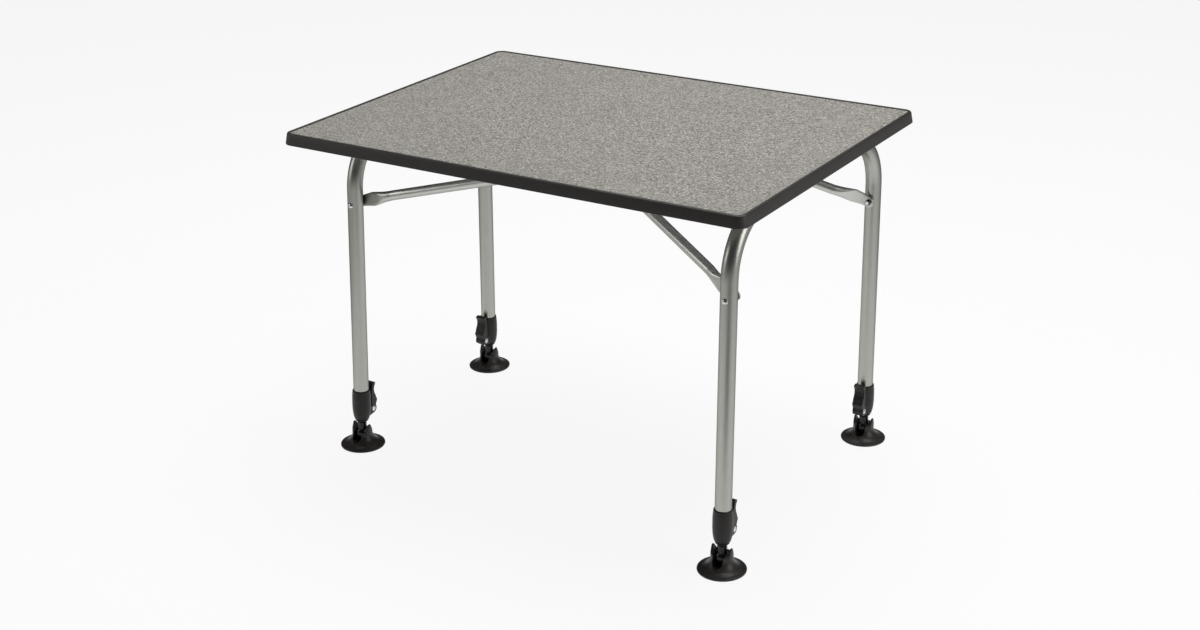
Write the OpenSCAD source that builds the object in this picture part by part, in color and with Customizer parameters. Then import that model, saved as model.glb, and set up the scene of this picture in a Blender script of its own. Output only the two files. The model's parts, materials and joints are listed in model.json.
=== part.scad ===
// Folding camping table with two U-shaped leg frames that nest under the top,
// a swinging brace on each frame, and four telescopic legs with cam clamps and
// ball-jointed disc feet. Shown standing at its lowest height.
// X runs along the top, -Y is the front, Z is up and the floor is z = 0.

/* [Tabletop] */
// Length of the tabletop over its rim
top_l = 800; // [760:10:840]
// Width of the tabletop over its rim
top_w = 600; // [580:5:640]
// Height of the tabletop with the legs pushed in
top_h = 570; // [560:5:600]
// Height of the moulded rim
rim_h = 18; // [17:0.5:20]
// Outer corner radius of the rim
rim_corner_r = 18; // [18:1:24]
// How far the rim leans in from its bottom edge to its top edge
rim_draft = 2.8; // [1:0.1:3.5]
// Thickness of the laminated board
board_t = 13.2; // [12:0.1:13.5]

/* [Leg frames] */
// Diameter of the leg tube
leg_d = 25.4; // [24:0.1:26]
// Wall of the leg tube
leg_wall = 1.5; // [1.2:0.1:1.6]
// Distance from the end of the top to a frame's hinge axis
hinge_inset = 46; // [42:1:50]
// Half the distance between the legs of the wide, right frame
wide_half = 247.2; // [244:0.2:250]
// Half the distance between the legs of the narrow, left frame
narrow_half = 180.2; // [178:0.2:182]
// Radius of the bend from crossbar to leg, on the tube's centre line
frame_bend_r = 88; // [80:1:90]
// Angle that each leg splays sideways
splay = 1; // [0.5:0.1:1.5]
// Angle that the narrow frame leans outwards
lean = 1.35; // [0:0.05:1.5]

/* [Braces] */
// Diameter of the brace tube
brace_d = 16; // [14:0.5:16]
// Distance from the hinge axis down to a brace's pivot bolts
pivot_drop = 112; // [108:1:116]
// Reach of the right brace from its pivot to its middle bar, along X
right_reach = 308; // [300:1:312]
// Height of the right brace's middle bar
right_bar_z = 545; // [544:0.5:545]
// Half the width between the arms at the right brace's middle bar
right_bar_half = 101; // [95:1:104]
// Reach of the left brace from its pivot to its middle bar, along X
left_reach = 306; // [300:1:308]
// Height of the left brace's middle bar
left_bar_z = 517; // [515:0.5:519]

/* [Feet and clamps] */
// Radius of a foot's disc
foot_r = 37.3; // [34:0.1:40]
// Height of the ball's centre above the floor
ball_h = 22; // [21:0.5:23]
// Radius of the ball
ball_r = 9.5; // [9:0.1:9.6]
// Height of a clamp lever's pin above the floor
clamp_pin_h = 60; // [59:0.5:61]

/* [Hidden] */
$fn = 64;
swell = 0.05; // a bend is this much fuller, so that straight runs end inside it
into = 0.5; // how far a straight run goes into a bend or a fishtail
through = 1; // how far a cut runs past the face it opens

laminate_grey = "#9b9894";
rim_charcoal = "#37332f";
moulded_black = "#1f1d1c";
alu_leg = "#a3a59c";
alu_brace = "#b9bbb6";
steel = "#c9cbca";
dark_steel = "#3a3938";
gloss_black = "#121212";

// Tabletop and rim, from the bottom of the rim upwards
rim_bottom = top_h - rim_h;
lip_t = 1.3;
lip_w = 5.8;
rebate = 0.4; // how deep the lip is let into the board's edge
groove_in = 5;
under_lip_w = 17;
board_top = top_h - lip_t;
board_bottom = board_top - board_t;
board_corner_r = rim_corner_r - groove_in;

// Hinge axes
hinge_x = top_l / 2 - hinge_inset;
hinge_z = top_h - 30;
leg_r = leg_d / 2;
running_gap = 0.08;

// Distance along a leg from the height of its hinge axis to the floor, which is
// set so that the ball's centre is at ball_h however much the leg slants
wide_leg = ball_h + (hinge_z - ball_h) / cos(splay);
narrow_leg = ball_h + (hinge_z - ball_h) / (cos(splay) * cos(lean));

// Heights above the floor, along the leg
leg_end_h = 72;
sleeve_low_h = 47;
sleeve_top_h = 96;
ext_len = 300;
ext_r = leg_r - leg_wall - running_gap;
ext_wall = 1.2;

// Hinge blocks and their screws
block_w = 30;
block_wall = 4;
block_top = board_bottom - hinge_z;
flange_t = 4;
flange_half = 28;
block_screw_x = 22.6;
wide_block_y = 125;
narrow_block_y = 60;
screw_r = 1.75;
screw_in = 9;
screw_head_r = 4;
screw_head_t = 2.4;

// Braces
brace_r = brace_d / 2;
plate_t = 3;
spacer_t = 2.25;
seat_gap = 0.15;
plate_face = leg_r + seat_gap + spacer_t + 0.3; // leg axis to the plate's outer face
plate_r = 9;
bolt_r = 3;
bolt_gap = 0.06;
bend_at = 12;
fishtail_half = 11.6;
fishtail_r = 13.6;
fishtail_start = 14;
fishtail_end = 50;
reach_room = 400;
right_corner_r = 30;
left_corner_r = 28;
right_pivot = [hinge_x, hinge_z - pivot_drop];
left_pivot = [-hinge_x - pivot_drop * sin(lean), hinge_z - pivot_drop * cos(lean)];
right_rise = right_bar_z - right_pivot[1];
left_rise = left_bar_z - left_pivot[1];
right_slope = atan2(right_rise, right_reach);
left_slope = atan2(left_rise, left_reach);
right_length = norm([right_reach, right_rise]);
left_length = norm([left_reach, left_rise]);
// Distance of a leg's axis from the middle plane, at the pivot bolts
right_bolt_y = wide_half + pivot_drop * tan(splay);
left_bolt_y = narrow_half + pivot_drop * tan(splay);
left_bar_half = left_bolt_y - plate_face - brace_r;

// Brace catches: each is open the way its bar first moves as the frame folds
catch_gap = 0.5;
catch_wall = 3.2;
catch_side_gap = 0.8;
catch_plate_t = 3;
catch_w = 14;
right_catch_w = 40;
left_catch_y = 94;
right_dip = 0.33; // degrees the right brace dips for each degree its frame folds
left_dip = 0.335; // the same for the left brace
right_mouth = atan2(right_length * right_dip * cos(right_slope),
                    pivot_drop + right_length * right_dip * sin(right_slope));
left_mouth = atan2(left_length * left_dip * cos(left_slope),
                   pivot_drop + left_length * left_dip * sin(left_slope));

// Cam clamps: u is the distance from the leg's axis towards the table's middle
clamp_pin_u = 21;
clamp_pin_r = 2.44;
cam_half = 5;
lever_half = 9;
ear_r = 8;
ear_gap = 0.3;
cam_r = 8.8;
cam_offset = 0.75;
clamp_head_r = 4.2;
clamp_head_t = 1.6;

// Feet
socket_r = ball_r + 0.1;
neck_r = 7.6;
stud_collar_h = 46.8;
slot_half = 8.3;
slot_floor = 9;
foot_edge_t = 3.4;
socket_top = 27.5;
flare_r = 21.5;
flare_x = 38;
flare_z = 25;
ear_tip_h = 39.5;

function arc(cx, cy, r, from, to, n) =
    [for (i = [0:n]) [cx + r * cos(from + (to - from) * i / n),
                      cy + r * sin(from + (to - from) * i / n)]];

// Placing

module in_wide_frame() {
    translate([hinge_x, 0, hinge_z]) children();
}

module in_narrow_frame() {
    translate([-hinge_x, 0, hinge_z]) rotate([0, lean, 0]) children();
}

// Runs its children in a leg's own frame: z is the height above the floor along
// the leg, and -Y points to the table's middle
module on_wide_leg(side) {
    in_wide_frame() on_leg(side, wide_half, wide_leg) children();
}

module on_narrow_leg(side) {
    in_narrow_frame() on_leg(side, narrow_half, narrow_leg) children();
}

module on_leg(side, half, len) {
    translate([0, side * half, 0]) rotate([side * splay, 0, 0]) translate([0, 0, -len])
        rotate([0, 0, side > 0 ? 0 : 180]) children();
}

// Puts a foot under its ball with the disc level, because the ball takes up the slant
module under_wide_leg(side) {
    drop = wide_leg - ball_h;
    translate([hinge_x, side * (wide_half + drop * sin(splay)), 0]) children();
}

module under_narrow_leg(side) {
    drop = narrow_leg - ball_h;
    translate([-hinge_x - drop * cos(splay) * sin(lean),
               side * (narrow_half + drop * sin(splay)), 0]) children();
}

// Tabletop

module rounded_rect(l, w, r) {
    square([l - 2 * r, w], center = true);
    square([l, w - 2 * r], center = true);
    for (sx = [-1, 1], sy = [-1, 1]) translate([sx * (l / 2 - r), sy * (w / 2 - r)]) circle(r);
}

module top_board() {
    face_in = rim_draft + lip_w + 0.1;
    color(laminate_grey) difference() {
        union() {
            translate([0, 0, board_bottom]) linear_extrude(board_t - rebate)
                rounded_rect(top_l - 2 * groove_in, top_w - 2 * groove_in, board_corner_r);
            translate([0, 0, board_top - 2 * rebate]) linear_extrude(2 * rebate)
                rounded_rect(top_l - 2 * face_in, top_w - 2 * face_in, rim_corner_r - face_in);
        }
        at_block_screws() screw_hole();
        at_catch_screws() screw_hole();
    }
}

module screw_hole() {
    translate([0, 0, board_bottom - through]) cylinder(r = screw_r, h = screw_in + through);
}

// The rim's section: x is measured outwards from the corner's centre, y up from
// the rim's bottom. The groove takes the board, and a thin lip laps over its edge.
module rim_section() {
    r = rim_corner_r;
    top_round = 2.5;
    foot_round = 1.2;
    lip_in = r - rim_draft - lip_w;
    groove = r - groove_in;
    board_low = rim_h - lip_t - board_t;
    under = r - under_lip_w;
    slant = atan(rim_draft / rim_h);
    polygon(concat(
        [[under + 1, 0]],
        arc(r - foot_round, foot_round, foot_round, -90, slant, 3),
        arc(r - rim_draft - top_round, rim_h - top_round, top_round, slant, 90, 5),
        [[lip_in + 0.6, rim_h], [lip_in, rim_h - 0.6], [lip_in, rim_h - lip_t - rebate],
         [groove, rim_h - lip_t - rebate], [groove, board_low], [under, board_low], [under, 1]]));
}

module edge_rim() {
    side_x = top_l / 2 - rim_corner_r;
    side_y = top_w / 2 - rim_corner_r;
    color(rim_charcoal) translate([0, 0, rim_bottom]) {
        for (turn = [0, 180]) rotate([0, 0, turn]) {
            translate([side_x, side_y, 0]) rotate([90, 0, 0]) linear_extrude(2 * side_y) rim_section();
            translate([-side_x, side_y, 0]) rotate([90, 0, 90])
                linear_extrude(2 * side_x) rim_section();
            translate([side_x, side_y, 0]) rotate_extrude(angle = 90) rim_section();
            translate([-side_x, side_y, 0]) rotate([0, 0, 90])
                rotate_extrude(angle = 90) rim_section();
        }
    }
}

// Hinge blocks: saddles that hold a crossbar up against the board

module hinge_block() {
    gusset_t = 4;
    outer = leg_r + running_gap + block_wall;
    difference() {
        union() {
            rotate([90, 0, 0]) cylinder(r = outer, h = block_w, center = true);
            translate([-outer, -block_w / 2, 0]) cube([2 * outer, block_w, block_top]);
            translate([-flange_half, -block_w / 2, block_top - flange_t])
                cube([2 * flange_half, block_w, flange_t]);
            for (sx = [-1, 1], y = [-block_w / 2, block_w / 2 - gusset_t])
                translate([0, y + gusset_t, 0]) rotate([90, 0, 0]) linear_extrude(gusset_t)
                    polygon([[sx * (outer - 1), -2], [sx * (outer - 1), block_top - flange_t],
                             [sx * (flange_half - 2), block_top - flange_t]]);
        }
        rotate([90, 0, 0])
            cylinder(r = leg_r + running_gap, h = block_w + 2 * through, center = true);
        translate([-leg_r - running_gap, -block_w / 2 - through, 0])
            cube([2 * (leg_r + running_gap), block_w + 2 * through, outer + through]);
        for (sx = [-1, 1]) translate([sx * block_screw_x, 0, block_top - flange_t - through])
            cylinder(r = screw_r, h = flange_t + 2 * through);
    }
}

module right_hinge_block(side) {
    color(moulded_black) translate([hinge_x, side * wide_block_y, hinge_z]) hinge_block();
}

module left_hinge_block(side) {
    color(moulded_black) translate([-hinge_x, side * narrow_block_y, hinge_z]) hinge_block();
}

module at_block_screws() {
    for (side = [-1, 1], sx = [-1, 1]) {
        translate([hinge_x + sx * block_screw_x, side * wide_block_y, 0]) children();
        translate([-hinge_x + sx * block_screw_x, side * narrow_block_y, 0]) children();
    }
}

// A pan-head screw driven up into the board from under a plate of thickness t
module wood_screw(t) {
    cross_w = 0.9;
    cross_l = 4.6;
    cross_d = 1.4;
    translate([0, 0, board_bottom - t]) difference() {
        union() {
            cylinder(r = screw_r, h = t + screw_in);
            rotate_extrude() polygon(concat(
                [[0, 0]],
                [[screw_head_r, 0]],
                arc(screw_head_r - 1.6, -screw_head_t + 1.6, 1.6, 0, -90, 4),
                [[0, -screw_head_t]]));
        }
        for (turn = [0, 90]) rotate([0, 0, turn])
            translate([-cross_l / 2, -cross_w / 2, -screw_head_t - through])
                cube([cross_l, cross_w, cross_d + through]);
    }
}

module hinge_block_screws() {
    color(steel) at_block_screws() wood_screw(flange_t);
}

// Brace catches

// A hooked catch round a bar at the origin. It hangs from the board, which is rise
// above the bar, and is open at mouth degrees below the +X direction.
module brace_catch(rise, w, mouth, screw_y) {
    inner = brace_r + catch_gap;
    outer = inner + catch_wall;
    plate_x = -outer;
    plate_l = 2 * outer + 20;
    difference() {
        union() {
            rotate([90, 0, 0]) cylinder(r = outer, h = w, center = true);
            translate([-outer, -w / 2, 0]) cube([outer + 4, w, rise]);
            translate([-plate_l + outer, -w / 2, rise - catch_plate_t])
                cube([plate_l, w, catch_plate_t]);
        }
        translate([-outer, -w / 2 - through, rise]) cube([2 * outer, w + 2 * through, outer]);
        rotate([90, 0, 0]) cylinder(r = inner, h = w + 2 * through, center = true);
        rotate([0, mouth, 0]) translate([0, -w / 2 - through, -brace_r - catch_side_gap])
            cube([4 * outer, w + 2 * through, 2 * (brace_r + catch_side_gap)]);
        for (y = screw_y) translate([catch_screw_x(), y, rise - catch_plate_t - through])
            cylinder(r = screw_r, h = catch_plate_t + 2 * through);
    }
}

function catch_screw_x() = -(brace_r + catch_gap + catch_wall) - 10;

right_screw_y = [-12, 12];

module right_brace_catch() {
    color(moulded_black) translate([hinge_x - right_reach, 0, right_bar_z]) rotate([0, 0, 180])
        brace_catch(board_bottom - right_bar_z, right_catch_w, right_mouth, right_screw_y);
}

module left_brace_catch(side) {
    color(moulded_black) translate([left_pivot[0] + left_reach, side * left_catch_y, left_bar_z])
        brace_catch(board_bottom - left_bar_z, catch_w, left_mouth, [0]);
}

module at_catch_screws() {
    for (y = right_screw_y)
        translate([hinge_x - right_reach - catch_screw_x(), y, 0]) children();
    for (side = [-1, 1])
        translate([left_pivot[0] + left_reach + catch_screw_x(), side * left_catch_y, 0])
            children();
}

module catch_screws() {
    color(steel) at_catch_screws() wood_screw(catch_plate_t);
}

// Leg frames: one bent tube each, with the crossbar in its hinge blocks

module u_bar(half, len, r, past) {
    bend_y = half + frame_bend_r * (1 - sin(splay)) * tan(splay) - frame_bend_r * cos(splay);
    leg_top = frame_bend_r * (1 - sin(splay)) / cos(splay);
    leg_bottom = len - leg_end_h + past;
    rotate([90, 0, 0]) cylinder(r = r, h = 2 * (bend_y + into), center = true);
    for (side = [-1, 1]) mirror([0, side > 0 ? 0 : 1, 0]) {
        translate([0, bend_y, -frame_bend_r]) rotate([90, 0, 90]) rotate([0, 0, splay])
            rotate_extrude(angle = 90 - splay) translate([frame_bend_r, 0]) circle(r + swell);
        translate([0, half, 0]) rotate([splay, 0, 0]) translate([0, 0, -leg_bottom])
            cylinder(r = r, h = leg_bottom - leg_top + into);
    }
}

module leg_frame(half, len) {
    bolt_y = half + pivot_drop * tan(splay);
    difference() {
        u_bar(half, len, leg_r, 0);
        u_bar(half, len, leg_r - leg_wall, through);
        for (side = [-1, 1]) translate([0, side * bolt_y, -pivot_drop]) rotate([90, 0, 0])
            cylinder(r = bolt_r, h = 2 * leg_d, center = true);
    }
}

module right_leg_frame() {
    color(alu_leg) in_wide_frame() leg_frame(wide_half, wide_leg);
}

module left_leg_frame() {
    color(alu_leg) in_narrow_frame() leg_frame(narrow_half, narrow_leg);
}

// Braces: one bent tube each, pointing along +X from its pivot at the origin, with
// both ends pressed flat. face_y is the pressed ends' outer face, end_y is half the
// width at the middle bar and reach is the distance to it.

module brace(face_y, end_y, reach, corner_r) {
    run = [reach - bend_at, end_y - face_y];
    slant = -atan2(run[1], run[0]) - asin(brace_r / norm(run));
    turn = 90 - slant;
    tangent = corner_r * tan(turn / 2);
    arm = sqrt(run * run - brace_r * brace_r) - tangent;
    difference() {
        union() {
            for (side = [-1, 1]) mirror([0, side > 0 ? 0 : 1, 0]) {
                translate([0, face_y, 0]) pressed_arm(arm, slant);
                translate([reach - corner_r, end_y - tangent, 0])
                    rotate_extrude(angle = turn) translate([corner_r, 0]) circle(brace_r + swell);
            }
            translate([reach, 0, 0]) rotate([90, 0, 0])
                cylinder(r = brace_r, h = 2 * (end_y - tangent + into), center = true);
        }
        for (side = [-1, 1]) translate([0, side * (face_y - plate_t / 2), 0]) rotate([90, 0, 0])
            cylinder(r = bolt_r + bolt_gap, h = 2 * plate_t, center = true);
    }
}

// An arm with its pressed end, the plate's outer face at y = 0 over the bolt. The arm
// folds inwards by slant past the eye, and opens out to the full round along a fishtail.
// The press leaves plan, seen from above, and outline, seen from the side.
module pressed_arm(arm, slant) {
    side_room = 2;
    cone_grow = (fishtail_r - brace_r) / fishtail_end;
    function fold(along, out) = [bend_at + along * cos(slant) + out * sin(slant),
                                 -along * sin(slant) + out * cos(slant)];
    plan = [
        [-plate_r - 1, 0], [bend_at, 0], fold(fishtail_start, 0), fold(fishtail_end, 0.3),
        fold(fishtail_end + 1, side_room), fold(arm + through, side_room),
        fold(arm + through, -brace_d - side_room), fold(fishtail_end + 1, -brace_d - side_room),
        fold(fishtail_end, -brace_d - 0.3), fold(fishtail_start, -plate_t),
        [bend_at - plate_t * tan(slant / 2), -plate_t], [-plate_r - 1, -plate_t]];
    intersection() {
        union() {
            translate([-plate_r - 1, -brace_r, -fishtail_r - 1])
                cube([plate_r + 1 + bend_at, brace_d, 2 * fishtail_r + 2]);
            translate([bend_at, 0, 0]) rotate([0, 0, -slant]) translate([0, -brace_r, 0])
                rotate([0, 90, 0]) rotate_extrude() polygon([
                    [0, -side_room], [fishtail_r + side_room * cone_grow, -side_room],
                    [brace_r, fishtail_end], [brace_r, arm + into], [0, arm + into]]);
        }
        linear_extrude(3 * brace_d, center = true) polygon(plan);
        rotate([90, 0, 0]) linear_extrude(3 * reach_room, center = true) {
            circle(plate_r);
            polygon([[0, -plate_r + 1], [bend_at, -plate_r - 1],
                     [bend_at + fishtail_start, -fishtail_half], [reach_room, -fishtail_half],
                     [reach_room, fishtail_half], [bend_at + fishtail_start, fishtail_half],
                     [bend_at, plate_r + 1], [0, plate_r - 1]]);
        }
    }
}

module right_brace() {
    color(alu_brace) translate([right_pivot[0], 0, right_pivot[1]]) rotate([0, right_slope, 0])
        rotate([0, 0, 180])
            brace(right_bolt_y - plate_face, right_bar_half, right_length, right_corner_r);
}

module left_brace() {
    color(alu_brace) translate([left_pivot[0], 0, left_pivot[1]]) rotate([0, -left_slope, 0])
        brace(left_bolt_y - plate_face, left_bar_half, left_length, left_corner_r);
}

// Pivot bolts, one through each leg, with the head outside the table's legs

module at_pivots(bolt_y) {
    for (side = [-1, 1]) translate([0, side * bolt_y, -pivot_drop])
        rotate([0, 0, side > 0 ? 0 : 180]) children();
}

nut_t = 5;
nut_start = plate_face + plate_t + 0.3;

module pivot_bolts(bolt_y) {
    head_r = 4.6;
    head_t = 2.8;
    seat = leg_r + seat_gap;
    at_pivots(bolt_y) {
        translate([0, seat, 0]) rotate([90, 0, 0])
            cylinder(r = bolt_r, h = seat + nut_start + nut_t + 0.8);
        translate([0, seat, 0]) rotate([-90, 0, 0]) rotate_extrude() polygon(concat(
            [[0, 0], [head_r, 0]],
            arc(0, head_t - 5.2, 5.2, 32, 90, 6)));
    }
}

module pivot_nuts(bolt_y) {
    flat_r = 4.7;
    at_pivots(bolt_y) translate([0, -nut_start, 0]) rotate([90, 0, 0]) difference() {
        cylinder(r = flat_r, h = nut_t, $fn = 6);
        translate([0, 0, -through]) cylinder(r = bolt_r, h = nut_t + 2 * through);
    }
}

module pivot_spacers(bolt_y) {
    spacer_r = 7;
    at_pivots(bolt_y) translate([0, -leg_r - seat_gap, 0]) rotate([90, 0, 0]) difference() {
        cylinder(r = spacer_r, h = spacer_t);
        translate([0, 0, -through]) cylinder(r = bolt_r, h = spacer_t + 2 * through);
    }
}

module right_pivot_bolts() {
    color(steel) in_wide_frame() pivot_bolts(right_bolt_y);
}

module right_pivot_nuts() {
    color(dark_steel) in_wide_frame() pivot_nuts(right_bolt_y);
}

module right_pivot_spacers() {
    color(moulded_black) in_wide_frame() pivot_spacers(right_bolt_y);
}

module left_pivot_bolts() {
    color(steel) in_narrow_frame() pivot_bolts(left_bolt_y);
}

module left_pivot_nuts() {
    color(dark_steel) in_narrow_frame() pivot_nuts(left_bolt_y);
}

module left_pivot_spacers() {
    color(moulded_black) in_narrow_frame() pivot_spacers(left_bolt_y);
}

// Cam clamps, in the leg's own frame

// Draws an outline given as [u, height] across the middle, width w, centred on X
module across(w) {
    rotate([90, 0, -90]) translate([0, 0, -w / 2]) linear_extrude(w) children();
}

module clamp_housing() {
    web_top = clamp_pin_h + ear_r - 1;
    color(moulded_black) difference() {
        union() {
            rotate_extrude() polygon([
                [leg_r - 3, sleeve_low_h], [12.7, sleeve_low_h], [13.3, 48.5], [13.7, 56],
                [15.2, 62], [15.6, 66], [15.6, 86], [15.2, 90], [14.4, 94.5], [13.7, sleeve_top_h],
                [leg_r - 3, sleeve_top_h]]);
            for (sx = [-1, 1]) translate([sx * (cam_half + ear_gap + lever_half) / 2, 0, 0])
                across(lever_half - cam_half - ear_gap) {
                    translate([clamp_pin_u, clamp_pin_h]) circle(ear_r);
                    polygon([[8, 50], [clamp_pin_u - 1, clamp_pin_h - ear_r],
                             [clamp_pin_u - 1, web_top], [8, web_top]]);
                }
        }
        translate([0, 0, sleeve_low_h - through])
            cylinder(r = ext_r + 0.06, h = sleeve_top_h - sleeve_low_h + 2 * through);
        translate([0, 0, leg_end_h]) cylinder(r = leg_r, h = sleeve_top_h);
        translate([-cam_half - ear_gap, -30, 50]) cube([2 * (cam_half + ear_gap), 30, 21]);
        at_clamp_pin() cylinder(r = clamp_pin_r, h = 3 * lever_half, center = true);
    }
}

module at_clamp_pin() {
    translate([0, -clamp_pin_u, clamp_pin_h]) rotate([0, 90, 0]) children();
}

module clamp_lever() {
    color(moulded_black) difference() {
        union() {
            difference() {
                across(2 * lever_half) {
                    polygon([[16.3, 68], [16.3, 94], [17.2, 104], [21.2, 117], [26.4, 117.4],
                             [23.6, 108], [23, 102], [24.5, 93], [29, 84], [29.5, 70], [26, 62]]);
                    translate([25.6, 76.6]) circle(5.4);
                    translate([24.4, 116]) circle(2.4);
                }
                at_clamp_pin() cylinder(r = ear_r + ear_gap, h = 3 * lever_half, center = true);
            }
            across(2 * cam_half) {
                translate([clamp_pin_u - cam_offset, clamp_pin_h]) circle(cam_r);
                polygon([[16.5, 62], [16.5, 72], [29, 72], [28, 62]]);
            }
        }
        at_clamp_pin() cylinder(r = clamp_pin_r + bolt_gap, h = 3 * lever_half, center = true);
        across(lever_half) polygon([[25.5, 88], [25.5, 110], [24.2, 110], [23.8, 100], [25, 92]]);
    }
}

module clamp_pin() {
    color(steel) at_clamp_pin() {
        cylinder(r = clamp_pin_r, h = 2 * lever_half, center = true);
        for (end = [0, 180]) rotate([end, 0, 0]) translate([0, 0, lever_half]) rotate_extrude()
            polygon(concat([[0, 0], [clamp_head_r, 0]],
                           arc(clamp_head_r - 1.2, clamp_head_t - 1.2, 1.2, 0, 90, 4),
                           [[0, clamp_head_t]]));
    }
}

module extension_tube() {
    color(alu_leg) translate([0, 0, sleeve_low_h]) difference() {
        cylinder(r = ext_r, h = ext_len);
        translate([0, 0, -through]) cylinder(r = ext_r - ext_wall, h = ext_len + 2 * through);
    }
}

module ball_stud() {
    plug_r = ext_r - ext_wall - bolt_gap;
    neck_low = ball_h + sqrt(ball_r * ball_r - neck_r * neck_r) - 1;
    color(gloss_black) {
        rotate_extrude() polygon([
            [0, neck_low], [neck_r, neck_low], [neck_r, 41.6], [8.2, 43], [ext_r - 1, 44.6],
            [ext_r - 0.2, 45.6], [ext_r - 0.2, stud_collar_h], [plug_r, stud_collar_h],
            [plug_r, 66], [plug_r - 1, 67], [0, 67]]);
        translate([0, 0, ball_h]) sphere(ball_r);
    }
}

// Foot, standing on the floor with its socket's centre at ball_h over the origin

module foot() {
    tilt_back = 15;
    back_half = neck_r + 0.6;
    ear_out = 17.2;
    color(gloss_black) difference() {
        union() {
            rotate_extrude() polygon(concat(
                [[0, 1.2], [30, 1.2], [31.5, 0], [foot_r - 0.8, 0], [foot_r, 0.8],
                 [foot_r, foot_edge_t - 0.6]],
                arc(flare_x, flare_z, flare_r, 266, 180, 9),
                [[flare_x - flare_r - 0.6, socket_top], [0, socket_top]]));
            intersection() {
                rotate_extrude() polygon([[8, 20], [ear_out, 20], [ear_out, 30], [16.6, ear_tip_h],
                                          [14.2, ear_tip_h], [11.5, socket_top], [8, socket_top]]);
                rotate([90, 0, 90]) linear_extrude(3 * ear_out, center = true)
                    polygon([[-9.5, 19], [9.5, 19], [8, socket_top], [2.4, ear_tip_h - 1],
                             [1.2, ear_tip_h], [-1.2, ear_tip_h], [-2.4, ear_tip_h - 1],
                             [-8, socket_top]]);
            }
        }
        translate([0, 0, ball_h]) sphere(socket_r);
        translate([0, 0, ball_h]) cylinder(r = neck_r + 1.3, h = foot_r);
        translate([0, 0, ball_h]) rotate([-tilt_back, 0, 0]) translate([-back_half, 0, 0])
            cube([2 * back_half, back_half, foot_r]);
        translate([-slot_half, -foot_r - through, slot_floor + slot_half])
            cube([2 * slot_half, foot_r + through, foot_r]);
        translate([0, 0, slot_floor + slot_half]) rotate([90, 0, 0])
            cylinder(r = slot_half, h = foot_r + through);
    }
}

top_board();
edge_rim();
right_hinge_block(1);  // right_rear_hinge_block
right_hinge_block(-1);  // right_front_hinge_block
left_hinge_block(1);  // left_rear_hinge_block
left_hinge_block(-1);  // left_front_hinge_block
hinge_block_screws();
right_brace_catch();
left_brace_catch(1);  // left_rear_brace_catch
left_brace_catch(-1);  // left_front_brace_catch
catch_screws();
right_leg_frame();
left_leg_frame();
right_brace();
left_brace();
right_pivot_bolts();
right_pivot_nuts();
right_pivot_spacers();
left_pivot_bolts();
left_pivot_nuts();
left_pivot_spacers();
on_wide_leg(1) clamp_housing();  // right_rear_clamp_housing
on_wide_leg(-1) clamp_housing();  // right_front_clamp_housing
on_narrow_leg(1) clamp_housing();  // left_rear_clamp_housing
on_narrow_leg(-1) clamp_housing();  // left_front_clamp_housing
on_wide_leg(1) clamp_lever();  // right_rear_clamp_lever
on_wide_leg(-1) clamp_lever();  // right_front_clamp_lever
on_narrow_leg(1) clamp_lever();  // left_rear_clamp_lever
on_narrow_leg(-1) clamp_lever();  // left_front_clamp_lever
on_wide_leg(1) clamp_pin();  // right_rear_clamp_pin
on_wide_leg(-1) clamp_pin();  // right_front_clamp_pin
on_narrow_leg(1) clamp_pin();  // left_rear_clamp_pin
on_narrow_leg(-1) clamp_pin();  // left_front_clamp_pin
on_wide_leg(1) extension_tube();  // right_rear_extension_tube
on_wide_leg(-1) extension_tube();  // right_front_extension_tube
on_narrow_leg(1) extension_tube();  // left_rear_extension_tube
on_narrow_leg(-1) extension_tube();  // left_front_extension_tube
on_wide_leg(1) ball_stud();  // right_rear_ball_stud
on_wide_leg(-1) ball_stud();  // right_front_ball_stud
on_narrow_leg(1) ball_stud();  // left_rear_ball_stud
on_narrow_leg(-1) ball_stud();  // left_front_ball_stud
under_wide_leg(1) foot();  // right_rear_foot
under_wide_leg(-1) foot();  // right_front_foot
under_narrow_leg(1) foot();  // left_rear_foot
under_narrow_leg(-1) foot();  // left_front_foot
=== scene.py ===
"""A folding camping table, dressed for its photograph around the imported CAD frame.

Sizes are in millimetres, apart from what Blender itself takes in metres. They carry over
from the part, apart from the balls' radius, the sleeves' tops and the levers' tips, which
are closer to the photograph here. +X runs to the wide leg frame, -Y to the front, +Z up.
"""

import json
import math

import bmesh
import bpy
from mathutils import Matrix, Vector


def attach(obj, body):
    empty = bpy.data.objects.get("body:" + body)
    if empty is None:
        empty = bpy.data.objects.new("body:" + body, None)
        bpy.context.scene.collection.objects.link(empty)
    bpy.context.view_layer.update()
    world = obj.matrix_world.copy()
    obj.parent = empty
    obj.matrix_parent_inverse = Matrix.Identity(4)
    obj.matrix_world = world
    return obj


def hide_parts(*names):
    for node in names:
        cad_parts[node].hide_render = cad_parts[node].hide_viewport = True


MM = 0.001
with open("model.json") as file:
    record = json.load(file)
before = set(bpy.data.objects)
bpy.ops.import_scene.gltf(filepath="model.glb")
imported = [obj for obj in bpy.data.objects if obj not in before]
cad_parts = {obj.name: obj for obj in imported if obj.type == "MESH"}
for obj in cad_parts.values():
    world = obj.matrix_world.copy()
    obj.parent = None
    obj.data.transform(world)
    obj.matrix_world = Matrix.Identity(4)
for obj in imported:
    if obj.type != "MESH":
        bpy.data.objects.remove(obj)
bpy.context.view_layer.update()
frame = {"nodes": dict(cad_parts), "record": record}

# The table's driving sizes
TOP_L, TOP_W, TOP_H = 800.0, 600.0, 570.0
RIM_H, RIM_CORNER_R, RIM_DRAFT, LIP_T, LIP_REBATE = 18.0, 18.0, 2.8, 1.3, 0.4
BOARD_T = 13.2
HINGE_X, HINGE_Z = 354.0, 540.0
LEG_R, LEG_WALL, FRAME_BEND_R = 12.7, 1.5, 88.0
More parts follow.
